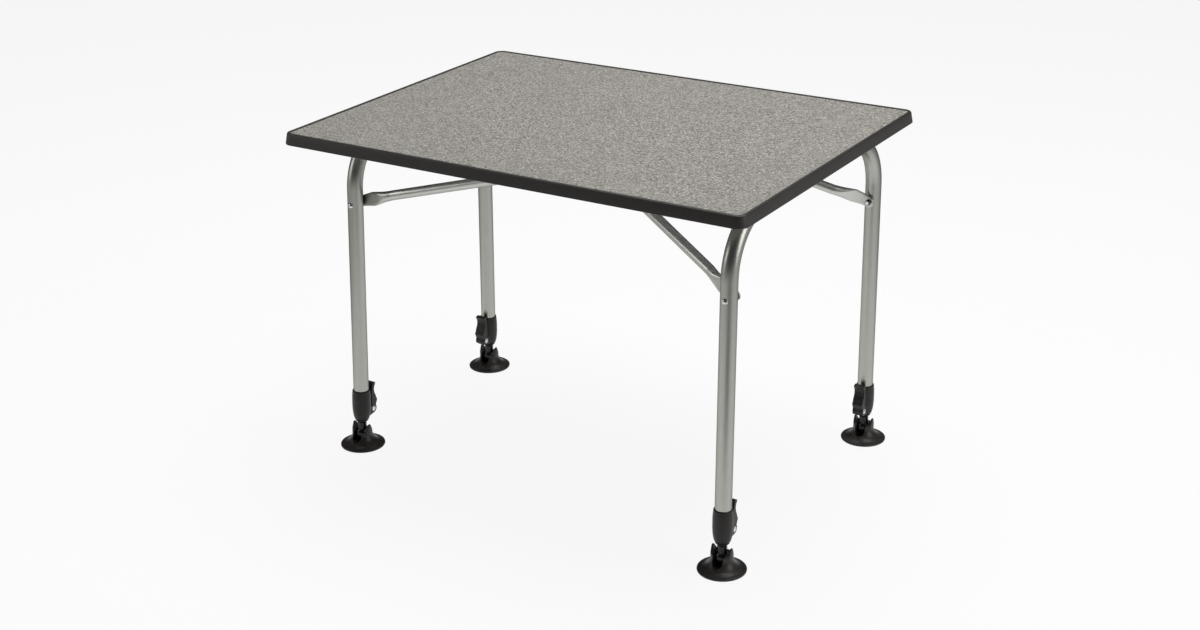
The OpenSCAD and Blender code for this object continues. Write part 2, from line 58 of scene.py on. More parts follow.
WIDE_HALF, NARROW_HALF = 247.2, 180.2
SPLAY, LEAN = math.radians(1.0), math.radians(1.35)
BALL_H, BALL_R = 22.0, 10.8
LEG_END_H = 72.0
PIVOT_DROP = 112.0
BRACE_R = 8.0


# Camera

# Fitted to the rim's corners, the legs and the feet in the photograph
CAMERA_AT = Vector((1454.655, -2392.713, 1389.714)) * MM
CAMERA_YAW, CAMERA_PITCH, CAMERA_ROLL = 2.119903, 0.388672, -0.00988247
FOCAL_PX = 1856.945
PHOTO_W = 1200
SENSOR_W = 36.0


def make_camera():
    data = bpy.data.cameras.new("camera")
    data.sensor_width = SENSOR_W
    data.lens = FOCAL_PX / PHOTO_W * SENSOR_W
    data.clip_end = 50
    ahead = Vector((math.cos(CAMERA_PITCH) * math.cos(CAMERA_YAW),
                    math.cos(CAMERA_PITCH) * math.sin(CAMERA_YAW),
                    -math.sin(CAMERA_PITCH)))
    level_right = Vector((math.sin(CAMERA_YAW), -math.cos(CAMERA_YAW), 0))
    level_up = level_right.cross(ahead)
    right = math.cos(CAMERA_ROLL) * level_right + math.sin(CAMERA_ROLL) * level_up
    up = math.cos(CAMERA_ROLL) * level_up - math.sin(CAMERA_ROLL) * level_right
    camera = bpy.data.objects.new("camera", data)
    bpy.context.scene.collection.objects.link(camera)
    camera.matrix_world = (Matrix.Translation(CAMERA_AT)
                           @ Matrix((right, up, -ahead)).transposed().to_4x4())
    bpy.context.scene.camera = camera


# Shader helpers

def add(tree, kind, inputs=None, **settings):
    """Adds a node, with its settings, and sets or plugs its inputs by name or number."""
    node = tree.nodes.new(kind)
    for key, value in settings.items():
        setattr(node, key, value)
    for key, value in (inputs or {}).items():
        if isinstance(value, bpy.types.NodeSocket):
            tree.links.new(value, node.inputs[key])
        else:
            node.inputs[key].default_value = value
    return node


def grade(tree, value, stops):
    """A colour ramp over value. stops are (position, grey or colour)."""
    ramp = add(tree, "ShaderNodeValToRGB", {0: value})
    marks = ramp.color_ramp.elements
    while len(marks) < len(stops):
        marks.new(0.5)
    for mark, (position, tone) in zip(marks, stops):
        mark.position = position
        mark.color = (tone, tone, tone, 1) if isinstance(tone, float) else (*tone, 1)
    return ramp.outputs["Color"]


def group(name, inputs, outputs):
    """A shader node group with its sockets: (group, its input node, its output node)."""
    tree = bpy.data.node_groups.new(name, "ShaderNodeTree")
    for direction, sockets in (("INPUT", inputs), ("OUTPUT", outputs)):
        for label, kind, *rest in sockets:
            socket = tree.interface.new_socket(label, in_out=direction, socket_type=kind)
            if rest:
                socket.default_value = rest[0]
    return tree, tree.nodes.new("NodeGroupInput"), tree.nodes.new("NodeGroupOutput")


def place(tree, shared, inputs):
    """Puts a shared group into a material's tree."""
    return add(tree, "ShaderNodeGroup", inputs, node_tree=shared)


def finish_of(name):
    """A new material with its Principled shader and the place on the piece in metres."""
    made = bpy.data.materials.new(name)
    made.use_nodes = True
    tree = made.node_tree
    shader = tree.nodes["Principled BSDF"]
    where = add(tree, "ShaderNodeTexCoord").outputs["Object"]
    return made, tree, shader, where


def plug(tree, shader, sockets):
    for name, value in sockets.items():
        if isinstance(value, bpy.types.NodeSocket):
            tree.links.new(value, shader.inputs[name])
        else:
            shader.inputs[name].default_value = value


# Shared effects

def moulded_grain():
    """Spark-eroded mould texture: a fine pebbled height and a mask of its low spots."""
    tree, given, out = group(
        "moulded grain",
        [("Position", "NodeSocketVector"), ("Grain per metre", "NodeSocketFloat", 2500.0)],
        [("Height", "NodeSocketFloat"), ("Low spots", "NodeSocketFloat")])
    pebble = add(tree, "ShaderNodeTexNoise",
                 {"Vector": given.outputs["Position"], "Scale": given.outputs["Grain per metre"],
                  "Detail": 3.0, "Roughness": 0.6})
    low = grade(tree, pebble.outputs["Fac"], [(0.35, 1.0), (0.6, 0.0)])
    tree.links.new(pebble.outputs["Fac"], out.inputs["Height"])
    tree.links.new(low, out.inputs["Low spots"])
    return tree


def cloudy():
    """Slow unevenness of a colour, as moulding and handling leave it."""
    tree, given, out = group(
        "cloudy",
        [("Position", "NodeSocketVector"), ("Colour", "NodeSocketColor"),
         ("Clouds per metre", "NodeSocketFloat", 20.0), ("Amount", "NodeSocketFloat", 0.1)],
        [("Colour", "NodeSocketColor"), ("Mask", "NodeSocketFloat")])
    cloud = add(tree, "ShaderNodeTexNoise",
                {"Vector": given.outputs["Position"], "Scale": given.outputs["Clouds per metre"],
                 "Detail": 4.0, "Roughness": 0.55})
    centred = add(tree, "ShaderNodeMath", {0: cloud.outputs["Fac"], 1: 0.5},
                  operation="SUBTRACT")
    scaled = add(tree, "ShaderNodeMath",
                 {0: centred.outputs[0], 1: given.outputs["Amount"], 2: 1.0},
                 operation="MULTIPLY_ADD")
    toned = add(tree, "ShaderNodeVectorMath",
                {0: given.outputs["Colour"], 3: scaled.outputs[0]}, operation="SCALE")
    tree.links.new(toned.outputs[0], out.inputs["Colour"])
    tree.links.new(cloud.outputs["Fac"], out.inputs["Mask"])
    return tree


def drawn_lines():
    """Faint lines that drawing a tube leaves along it. Stretch is small along the tube."""
    tree, given, out = group(
        "drawn lines",
        [("Position", "NodeSocketVector"), ("Stretch", "NodeSocketVector", (1.0, 1.0, 0.02)),
         ("Lines per metre", "NodeSocketFloat", 1500.0)],
        [("Lines", "NodeSocketFloat")])
    along = add(tree, "ShaderNodeVectorMath",
                {0: given.outputs["Position"], 1: given.outputs["Stretch"]},
                operation="MULTIPLY")
    lines = add(tree, "ShaderNodeTexNoise",
                {"Vector": along.outputs[0], "Scale": given.outputs["Lines per metre"],
                 "Detail": 2.0, "Roughness": 0.5})
    tree.links.new(lines.outputs["Fac"], out.inputs["Lines"])
    return tree


GRAIN, CLOUDY, DRAWN = moulded_grain(), cloudy(), drawn_lines()


# Finishes

def bump(tree, height, depth, strength=1.0):
    return add(tree, "ShaderNodeBump", {"Height": height, "Distance": depth,
                                        "Strength": strength}).outputs["Normal"]


def moulded_plastic(name, colour, rough, grain_per_m, depth, cloud=0.35, coat=0.0, shine=0.5):
    """Moulded plastic: grained, a little cloudy and shinier where the grain is low."""
    made, tree, shader, where = finish_of(name)
    grain = place(tree, GRAIN, {"Position": where, "Grain per metre": grain_per_m})
    clouds = place(tree, CLOUDY, {"Position": where, "Colour": (*colour, 1),
                                  "Clouds per metre": 35.0, "Amount": cloud})
    gloss = add(tree, "ShaderNodeMapRange",
                {"Value": grain.outputs["Low spots"], "To Min": rough + 0.05,
                 "To Max": rough - 0.07})
    plug(tree, shader, {
        "Base Color": clouds.outputs["Colour"],
        "Roughness": gloss.outputs["Result"],
        "Specular IOR Level": shine,
        "Coat Weight": coat,
        "Coat Roughness": 0.15,
        "Normal": bump(tree, grain.outputs["Height"], depth)})
    return made


def anodised_tube(name, colour, rough, stretch):
    """Satin anodised aluminium, drawn along the tube."""
    made, tree, shader, where = finish_of(name)
    lines = place(tree, DRAWN, {"Position": where, "Stretch": stretch,
                                "Lines per metre": 1600.0})
    clouds = place(tree, CLOUDY, {"Position": where, "Colour": (*colour, 1),
                                  "Clouds per metre": 60.0, "Amount": 0.08})
    grit = place(tree, GRAIN, {"Position": where, "Grain per metre": 5000.0})
    satin = add(tree, "ShaderNodeMapRange",
                {"Value": lines.outputs["Lines"], "From Min": 0.3, "From Max": 0.7,
                 "To Min": rough - 0.05, "To Max": rough + 0.07})
    height = add(tree, "ShaderNodeMath",
                 {0: lines.outputs["Lines"], 1: grit.outputs["Height"]}, operation="ADD")
    plug(tree, shader, {
        "Base Color": clouds.outputs["Colour"],
        "Metallic": 1.0,
        "Specular Tint": (0.30, 0.30, 0.29, 1),
        "Roughness": satin.outputs["Result"],
        "Normal": bump(tree, height.outputs[0], 0.00001, 0.3)})
    return made


def plated_steel(name, colour, rough):
    """Turned and plated steel: bright, with faint turning marks and a slow tarnish."""
    made, tree, shader, where = finish_of(name)
    clouds = place(tree, CLOUDY, {"Position": where, "Colour": (*colour, 1),
                                  "Clouds per metre": 300.0, "Amount": 0.25})
    grit = place(tree, GRAIN, {"Position": where, "Grain per metre": 6000.0})
    gloss = add(tree, "ShaderNodeMapRange",
                {"Value": clouds.outputs["Mask"], "From Min": 0.3, "From Max": 0.7,
                 "To Min": rough - 0.04, "To Max": rough + 0.08})
    plug(tree, shader, {
        "Base Color": clouds.outputs["Colour"],
        "Metallic": 1.0,
        "Roughness": gloss.outputs["Result"],
        "Normal": bump(tree, grit.outputs["Height"], 0.000008)})
    return made


def laminate():
    """Warm grey laminate with a fine stony mottle, and a plain backing sheet below."""
    made, tree, shader, where = finish_of("stony laminate")
    grains = add(tree, "ShaderNodeTexVoronoi", {"Vector": where, "Scale": 520.0}, feature="F1")
    chips = add(tree, "ShaderNodeSeparateColor", {0: grains.outputs["Color"]})
    stone = grade(tree, chips.outputs["Red"], [
        (0.0, (0.135, 0.126, 0.112)), (0.35, (0.285, 0.270, 0.243)),
        (0.75, (0.362, 0.347, 0.318)), (1.0, (0.560, 0.545, 0.512))])
    fleck = add(tree, "ShaderNodeTexNoise",
                {"Vector": where, "Scale": 260.0, "Detail": 4.0, "Roughness": 0.75})
    vein = grade(tree, fleck.outputs["Fac"], [(0.36, 0.66), (0.48, 0.97), (0.64, 1.26)])
    veined = add(tree, "ShaderNodeMix", {0: 1.0, 6: stone, 7: vein},
                 data_type="RGBA", blend_type="MULTIPLY").outputs[2]
    glint = grade(tree, chips.outputs["Green"], [(0.985, 0.0), (0.99, 0.16)])
    lit = add(tree, "ShaderNodeMix", {0: 1.0, 6: veined, 7: glint},
              data_type="RGBA", blend_type="ADD").outputs[2]
    clouds = place(tree, CLOUDY, {"Position": where, "Colour": lit,
                                  "Clouds per metre": 9.0, "Amount": 0.10})
    facing = add(tree, "ShaderNodeSeparateXYZ",
                 {0: add(tree, "ShaderNodeTexCoord").outputs["Normal"]})
    below = add(tree, "ShaderNodeMath", {0: facing.outputs["Z"], 1: -0.5},
                operation="LESS_THAN")
    backed = add(tree, "ShaderNodeMix",
                 {0: below.outputs[0], 6: clouds.outputs["Colour"], 7: (0.33, 0.325, 0.315, 1)},
                 data_type="RGBA").outputs[2]
    grain = place(tree, GRAIN, {"Position": where, "Grain per metre": 1400.0})
    gloss = add(tree, "ShaderNodeMapRange",
                {"Value": grain.outputs["Low spots"], "To Min": 0.50, "To Max": 0.40})
    plug(tree, shader, {
        "Base Color": backed,
        "Roughness": gloss.outputs["Result"],
        "Specular IOR Level": 0.35,
        "Normal": bump(tree, grain.outputs["Height"], 0.00006)})
    return made


LAMINATE = laminate()
RIM = moulded_plastic("grained charcoal rim", (0.032, 0.028, 0.0255), 0.46, 1500.0, 0.00007)
MOULDED = moulded_plastic("moulded black", (0.016, 0.015, 0.014), 0.42, 2200.0, 0.00004)
CLAMP = moulded_plastic("clamp black", (0.021, 0.0185, 0.017), 0.46, 2600.0, 0.00003,
                        coat=0.03, shine=0.32)
FOOT = moulded_plastic("foot black", (0.026, 0.0225, 0.0205), 0.44, 2400.0, 0.00002,
                       coat=0.06, shine=0.4)
BALL = moulded_plastic("glossy ball black", (0.008, 0.008, 0.008), 0.26, 2400.0, 0.000008,
                       coat=0.12, shine=0.3)
LEG_TUBE = anodised_tube("anodised leg tube", (0.44, 0.44, 0.405), 0.36, (1.0, 1.0, 0.02))
BRACE_TUBE = anodised_tube("anodised brace tube", (0.56, 0.56, 0.53), 0.33, (0.02, 1.0, 1.0))
BRIGHT = plated_steel("zinc plated steel", (0.66, 0.67, 0.68), 0.20)
DARK = plated_steel("blackened steel", (0.09, 0.088, 0.085), 0.34)

NODE_FINISH = {"laminate": LAMINATE, "rim": RIM, "moulded_black": MOULDED,
               "clamp_black": CLAMP, "foot_black": FOOT, "leg_tube": LEG_TUBE,
               "brace_tube": BRACE_TUBE, "bright_steel": BRIGHT, "dark_steel": DARK}


def dress_nodes():
    """Gives every CAD node the finish of its slot."""
    for part in frame["record"]["subparts"]:
        node = frame["nodes"][part["node"]]
        finish = NODE_FINISH[part["material_slot"]]
        if part["node"].endswith("ball_stud"):
            finish = BALL
        for slot in node.material_slots:
            slot.material = finish


# Mesh helpers: each works in millimetres in the piece's own axes

def link_mesh(name, verts, faces, finish):
    """A smooth-shaded object from millimetre points, with its own finish."""
    mesh = bpy.data.meshes.new(name)
    mesh.from_pydata([Vector(v) * MM for v in verts], [], faces)
    mesh.validate()
    piece = bpy.data.objects.new(name, mesh)
    bpy.context.scene.collection.objects.link(piece)
    mesh.materials.append(finish)
    smooth(mesh)
    return piece


def smooth(mesh, angle=math.radians(32)):
    """Smooth shading that keeps edges sharper than angle, normals pointing out."""
    work = bmesh.new()
    work.from_mesh(mesh)
    bmesh.ops.remove_doubles(work, verts=work.verts, dist=1e-7)
    bmesh.ops.recalc_face_normals(work, faces=work.faces)
    for face in work.faces:
        face.smooth = True
    for edge in work.edges:
        edge.smooth = len(edge.link_faces) == 2 and edge.calc_face_angle() < angle
    work.to_mesh(mesh)
    work.free()


def loft(name, rings, finish, closed_ends=True, looped=False):
    """A skin over rings of equal point counts. looped joins the last ring to the first."""
    count = len(rings[0])
    verts = [point for ring in rings for point in ring]
    faces = []
    for i in range(len(rings) if looped else len(rings) - 1):
        low, high = i * count, (i + 1) % len(rings) * count
        for j in range(count):
            k = (j + 1) % count
            faces.append((low + j, low + k, high + k, high + j))
    if closed_ends and not looped:
        faces.append(tuple(range(count))[::-1])
        faces.append(tuple(range(len(verts) - count, len(verts))))
    return link_mesh(name, verts, faces, finish)


def lathe(name, profile, finish, steps=96):
    """Turns a closed (radius, height) profile about Z. Points on the axis are allowed."""
    rings = []
    for i in range(steps):
        turn = 2 * math.pi * i / steps
        rings.append([(r * math.cos(turn), r * math.sin(turn), z) for r, z in profile])
    return loft(name, rings, finish, looped=True)


def arc(cx, cy, r, start, end, steps):
    """Points on an arc, angles in degrees."""
    return [(cx + r * math.cos(math.radians(start + (end - start) * i / steps)),
             cy + r * math.sin(math.radians(start + (end - start) * i / steps)))
            for i in range(steps + 1)]


def circle(r, steps):
    return [(r * math.cos(2 * math.pi * i / steps), r * math.sin(2 * math.pi * i / steps))
            for i in range(steps)]


def slab(name, outline, low, high, finish, turned=None):
    """Extrudes an (x, y) outline from low to high along Z, then turns it."""
    piece = loft(name, [[(x, y, z) for x, y in outline] for z in (low, high)], finish)
    if turned is not None:
        piece.data.transform(turned)
    return piece


def carve(piece, other, operation="DIFFERENCE"):
    """Cuts, joins or keeps what is common with another mesh, which is used up."""
    cut = piece.modifiers.new("carve", "BOOLEAN")
    cut.operation, cut.object, cut.solver = operation, other, "EXACT"
    apply_modifiers(piece)
    bpy.data.objects.remove(other)


def apply_modifiers(piece):
    """Bakes the piece's modifiers into its mesh."""
    shaped = bpy.data.meshes.new_from_object(
        piece.evaluated_get(bpy.context.evaluated_depsgraph_get()))
    piece.modifiers.clear()
    piece.data = shaped


def mould(piece, voxel, passes, keep=1.0):
    """Rounds every edge a little, as a moulded part's are, by remeshing and relaxing."""
    skin = piece.modifiers.new("skin", "REMESH")
    skin.mode, skin.voxel_size = "VOXEL", voxel * MM
    relax = piece.modifiers.new("relax", "SMOOTH")
    relax.factor, relax.iterations = 0.5, passes
    if keep < 1:
        thin = piece.modifiers.new("thin", "DECIMATE")
        thin.ratio = keep
    apply_modifiers(piece)
    for face in piece.data.polygons:
        face.use_smooth = True


def finish_with(piece, finish):
    """Makes finish the only one on the piece."""
    piece.data.materials.clear()
    piece.data.materials.append(finish)


def stand_in(piece, body, node):
    """The piece rides on a body, and stands for its CAD node."""
    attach(piece, body)
    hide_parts(node)


def copy_of(piece, name, matrix):
    """A second piece on the same mesh, placed by matrix."""
    twin = bpy.data.objects.new(name, piece.data)
    bpy.context.scene.collection.objects.link(twin)
    twin.matrix_world = matrix
    return twin


def join(pieces):
    """Makes one mesh of several that stay as separate shells."""
    work = bmesh.new()
    for piece in pieces:
        work.from_mesh(piece.data)
    first = pieces[0]
    work.to_mesh(first.data)
    work.free()
    for piece in pieces[1:]:
        bpy.data.objects.remove(piece)
    return first


# Where things are

HALF = {"right": WIDE_HALF, "left": NARROW_HALF}
SIDES = {"rear": 1, "front": -1}
LEGS = [(frame_side, end) for frame_side in HALF for end in SIDES]


def frame_matrix(which):
    """A leg frame's hinge axes in the table."""
    if which == "right":
        return Matrix.Translation(Vector((HINGE_X, 0, HINGE_Z)) * MM)
    return (Matrix.Translation(Vector((-HINGE_X, 0, HINGE_Z)) * MM)
            @ Matrix.Rotation(LEAN, 4, "Y"))


def leg_length(which):
    """From the hinge height down the leg to the floor."""
    lean = LEAN if which == "left" else 0.0
    return BALL_H + (HINGE_Z - BALL_H) / (math.cos(SPLAY) * math.cos(lean))


def leg_matrix(which, end):
    """A leg's own axes: height along the leg above the floor, -Y to the table's middle."""
    side = SIDES[end]
    return (frame_matrix(which) @ Matrix.Translation(Vector((0, side * HALF[which], 0)) * MM)
            @ Matrix.Rotation(side * SPLAY, 4, "X")
            @ Matrix.Translation(Vector((0, 0, -leg_length(which))) * MM)
            @ Matrix.Rotation(0 if side > 0 else math.pi, 4, "Z"))


# Leg frames

TUBE_STEPS = 64
BEND_STEPS = 24


def tube_ring(centre, ahead, out, r):
    """A circle of radius r about centre in the plane of two unit vectors."""
    return [Vector(centre) + x * ahead + y * out for x, y in circle(r, TUBE_STEPS)]


def leg_frame(which):
    """One bent tube: legs and crossbar, with its open ends and the wall inside them."""
    half = HALF[which]
    bend_y = half + FRAME_BEND_R * ((1 - math.sin(SPLAY)) * math.tan(SPLAY) - math.cos(SPLAY))
    foot_y, foot_z = (half + (leg_length(which) - LEG_END_H) * math.sin(SPLAY),
                      -(leg_length(which) - LEG_END_H) * math.cos(SPLAY))
    ahead = Vector((1, 0, 0))

    def station(y, z, angle, r):
        return tube_ring((0, y, z), ahead, Vector((0, math.cos(angle), math.sin(angle))), r)

    half_path = [(foot_y, foot_z, SPLAY)]
    for i in range(BEND_STEPS + 1):
        angle = SPLAY + (math.pi / 2 - SPLAY) * i / BEND_STEPS
        half_path.append((bend_y + FRAME_BEND_R * math.cos(angle),
                          -FRAME_BEND_R + FRAME_BEND_R * math.sin(angle), angle))
    path = half_path + [(-y, z, math.pi - angle) for y, z, angle in reversed(half_path)]
    inner_r, wall_depth = LEG_R - LEG_WALL, 60.0
    inside = [(foot_y - wall_depth * math.sin(SPLAY), foot_z + wall_depth * math.cos(SPLAY),
               SPLAY), (foot_y, foot_z, SPLAY)]
    rings = ([station(*at, inner_r) for at in inside]
             + [station(*at, LEG_R) for at in path]
             + [station(-y, z, math.pi - angle, inner_r) for y, z, angle in reversed(inside)])
    piece = loft(f"{which}_leg_tube", rings, LEG_TUBE)
    piece.matrix_world = frame_matrix(which)
    stand_in(piece, f"{which}_frame", f"{which}_leg_frame")


# Braces

PLATE_T, PLATE_R, BEND_AT = 3.0, 9.0, 12.0
FISHTAIL_START, FISHTAIL_END, FISHTAIL_HALF = 14.0, 50.0, 11.6
FISHTAIL_STEP, FISHTAIL_RINGS = 3, 12
SPACER_T, GAP = 2.25, 0.3
BOLT_SEAT = LEG_R + GAP / 2
PLATE_FACE = BOLT_SEAT + SPACER_T + GAP
BOLT_Y = {side: HALF[side] + PIVOT_DROP * math.tan(SPLAY) for side in HALF}
RIGHT_BAR_H, LEFT_BAR_H = 545.0, 517.0
RIGHT_REACH, LEFT_REACH = 308.0, 306.0
BRACE = {"right": {"rise": RIGHT_BAR_H - (HINGE_Z - PIVOT_DROP), "reach": RIGHT_REACH,
                   "bar_half": 101.0, "corner_r": 30.0},
         "left": {"rise": LEFT_BAR_H - (HINGE_Z - PIVOT_DROP * math.cos(LEAN)),
                  "reach": LEFT_REACH, "bar_half": BOLT_Y["left"] - PLATE_FACE - BRACE_R,
                  "corner_r": 28.0}}
SECTION_STEPS, TIP_STEPS = 56, 8


def pressed_section(half_width, thickness):
    """A flattened tube's section, as (across, out) points: a slot shape with round ends."""
    half_t = thickness / 2
    points = []
    for x, y in circle(1.0, SECTION_STEPS):
        reach = half_width - half_t
        points.append((x * half_t + math.copysign(reach, x) * min(1.0, abs(x) * 6), y * half_t))
    return points


def arm_section(along):
    """The section at a distance past the fold: (points, how far its middle is inside)."""
    if along <= FISHTAIL_START:
        share = max(0.0, along) / FISHTAIL_START
        flat = pressed_section(PLATE_R + 1 + (FISHTAIL_HALF - PLATE_R - 1) * share, PLATE_T)
        return flat, PLATE_T / 2
    share = min(1.0, (along - FISHTAIL_START) / (FISHTAIL_END - FISHTAIL_START))
    eased = share * share * (3 - 2 * share)
    thickness = PLATE_T + (2 * BRACE_R - PLATE_T) * share
    flat = pressed_section(FISHTAIL_HALF + (BRACE_R - FISHTAIL_HALF) * share, thickness)
    full = circle(BRACE_R, SECTION_STEPS)
    points = [(fx + (cx - fx) * eased, fy + (cy - fy) * eased)
              for (fx, fy), (cx, cy) in zip(flat, full)]
    return points, thickness / 2


def brace(which):
    """One bent tube with both ends pressed flat, from eye to eye round its middle bar."""
    size = BRACE[which]
    face_y, end_y = BOLT_Y[which] - PLATE_FACE, size["bar_half"]
    reach = math.hypot(size["reach"], size["rise"])
    slope = math.atan2(size["rise"], size["reach"])
    run_x, run_y = reach - BEND_AT, face_y - end_y
    slant = math.atan2(run_y, run_x) - math.asin(BRACE_R / math.hypot(run_x, run_y))
    tangent = size["corner_r"] * math.tan((math.pi / 2 - slant) / 2)
    arm = math.sqrt(run_x ** 2 + run_y ** 2 - BRACE_R ** 2) - tangent

    def ring(x, y, heading, points):
        """Section points at a place, where heading is the way the tube runs in the plan."""
        up = Vector((0, 0, 1))
        out = Vector((math.sin(heading), math.cos(heading), 0))
        return [Vector((x, y, 0)) + u * up + o * out for u, o in points]

    rings = []
    for i in range(TIP_STEPS + 1):
        angle = math.radians(4 + 86 * i / TIP_STEPS)
        tip = pressed_section(PLATE_R * math.sin(angle), PLATE_T)
        rings.append(ring(-PLATE_R * math.cos(angle), face_y - PLATE_T / 2, 0, tip))
    for along in (-2.0, 0.0):
        grown = pressed_section(PLATE_R + (BEND_AT + along) / BEND_AT, PLATE_T)
        heading = 0 if along < 0 else slant / 2
        rings.append(ring(BEND_AT + along - (PLATE_T / 2) * math.sin(heading),
                          face_y - PLATE_T / 2, heading, grown))
    blend = [FISHTAIL_START + FISHTAIL_STEP * i for i in range(FISHTAIL_RINGS + 1)]
    for along in [2.0] + blend + [arm]:
        points, inside = arm_section(along)
        rings.append(ring(BEND_AT + along * math.cos(slant) - inside * math.sin(slant),
                          face_y - along * math.sin(slant) - inside * math.cos(slant),
                          slant, points))
    full, corner_r = circle(BRACE_R, SECTION_STEPS), size["corner_r"]
    for i in range(1, BEND_STEPS + 1):
        heading = slant + (math.pi / 2 - slant) * i / BEND_STEPS
        rings.append(ring(reach - corner_r + corner_r * math.sin(heading),
                          end_y - tangent + corner_r * math.cos(heading), heading, full))
    mirrored = [[Vector((p.x, -p.y, p.z)) for p in r] for r in reversed(rings)]
    piece = loft(f"{which}_brace_tube", rings + mirrored, BRACE_TUBE)
    if which == "right":
        at = Matrix.Translation(Vector((HINGE_X, 0, HINGE_Z - PIVOT_DROP)) * MM)
        turned = Matrix.Rotation(slope, 4, "Y") @ Matrix.Rotation(math.pi, 4, "Z")
    else:
        at = Matrix.Translation(Vector((-HINGE_X - PIVOT_DROP * math.sin(LEAN), 0,
                                        HINGE_Z - PIVOT_DROP * math.cos(LEAN))) * MM)
        turned = Matrix.Rotation(-slope, 4, "Y")
    piece.matrix_world = at @ turned
    stand_in(piece, f"{which}_brace", f"{which}_brace")


# Feet

FOOT_R, FOOT_EDGE_T = 37.3, 3.4
FLARE_X, FLARE_Z, FLARE_R = 38.0, 25.0, 21.5
SOCKET_TOP, SLOT_HALF, SLOT_FLOOR = 27.5, 8.3, 9.0
NECK_R, EAR_TIP_H, EAR_OUT, TILT_BACK = 7.6, 39.5, 17.2, math.radians(15)


def disc_foot():
    """A disc foot with its socket, the slot the neck tilts into and two pointed ears."""
    flare = arc(FLARE_X, FLARE_Z, FLARE_R, 266, 180, 24)
    foot = lathe("foot", [(0.0, 1.2), (30.0, 1.2), (31.5, 0.0), (FOOT_R - 0.8, 0.0),
                          (FOOT_R, 0.8), (FOOT_R, FOOT_EDGE_T - 0.6)] + flare
                 + [(FLARE_X - FLARE_R - 0.6, SOCKET_TOP), (0.0, SOCKET_TOP)], FOOT, 120)
    ears = lathe("ears", [(8.0, 20.0), (EAR_OUT, 20.0), (EAR_OUT, 30.0), (16.6, EAR_TIP_H),
                          (14.2, EAR_TIP_H), (11.5, SOCKET_TOP), (8.0, SOCKET_TOP)], FOOT)
    ear_side = [(-9.5, 19.0), (9.5, 19.0), (8.0, SOCKET_TOP), (2.4, EAR_TIP_H - 1),
                (1.2, EAR_TIP_H), (-1.2, EAR_TIP_H), (-2.4, EAR_TIP_H - 1), (-8.0, SOCKET_TOP)]
    upright = Matrix.Rotation(math.pi / 2, 4, "Z") @ Matrix.Rotation(math.pi / 2, 4, "X")
    carve(ears, slab("ear side", ear_side, -60, 60, FOOT, upright), "INTERSECT")
    carve(foot, ears, "UNION")
    socket = lathe("socket", arc(0, BALL_H, BALL_R + 0.1, -90, 90, 24), FOOT)
    carve(foot, socket)
    carve(foot, slab("mouth", circle(NECK_R + 1.3, 64), BALL_H, BALL_H + FOOT_R, FOOT))
    relief_half = NECK_R + 0.6
    relief = slab("relief", [(-relief_half, 0), (relief_half, 0), (relief_half, relief_half),
                             (-relief_half, relief_half)], 0, FOOT_R, FOOT,
                  Matrix.Translation((0, 0, BALL_H * MM)) @ Matrix.Rotation(-TILT_BACK, 4, "X"))
    carve(foot, relief)
    top = SLOT_FLOOR + SLOT_HALF
    slot = ([(-SLOT_HALF, 60.0)] + [(x, top + y) for x, y in arc(0, 0, SLOT_HALF, 180, 360, 24)]
            + [(SLOT_HALF, 60.0)])
    carve(foot, slab("slot", slot, 0, FOOT_R + 2, FOOT, Matrix.Rotation(math.pi / 2, 4, "X")))
    mould(foot, voxel=0.55, passes=5, keep=0.6)
    finish_with(foot, FOOT)
    return foot


def feet():
    shape = disc_foot()
    for which, end in LEGS:
        name = f"{which}_{end}"
        ball = leg_matrix(which, end) @ Vector((0, 0, BALL_H * MM))
        twin = copy_of(shape, f"{name}_disc_foot",
                       Matrix.Translation(ball - Vector((0, 0, BALL_H * MM))))
        stand_in(twin, f"{name}_foot", f"{name}_foot")
    bpy.data.objects.remove(shape)


# Clamps, each built in its leg's own axes: u is the distance from the leg towards the
# table's middle, along -Y

SLEEVE_LOW, SLEEVE_TOP = 48.0, 101.0
PIN_U, PIN_H, PIN_R, PIN_HEAD_R, PIN_HEAD_T = 21.0, 60.0, 2.44, 4.2, 1.6
CAM_HALF, LEVER_HALF, EAR_R, EAR_GAP = 5.0, 9.0, 8.0, 0.3
CAM_R, CAM_OFFSET = 8.8, 0.75
EXT_R, EXT_WALL, EXT_TOP, PLUG_TOP = LEG_R - LEG_WALL - 0.08, 1.2, 347.0, 67.0


def across(name, outline, low, high, finish):
    """Extrudes a (u, height) outline along X, from low to high."""
    turned = Matrix(((0, 0, 1, 0), (-1, 0, 0, 0), (0, 1, 0, 0), (0, 0, 0, 1)))
    return slab(name, outline, low, high, finish, turned)


def disc_at(u, h, r, steps=48):
    return [(u + x, h + y) for x, y in circle(r, steps)]


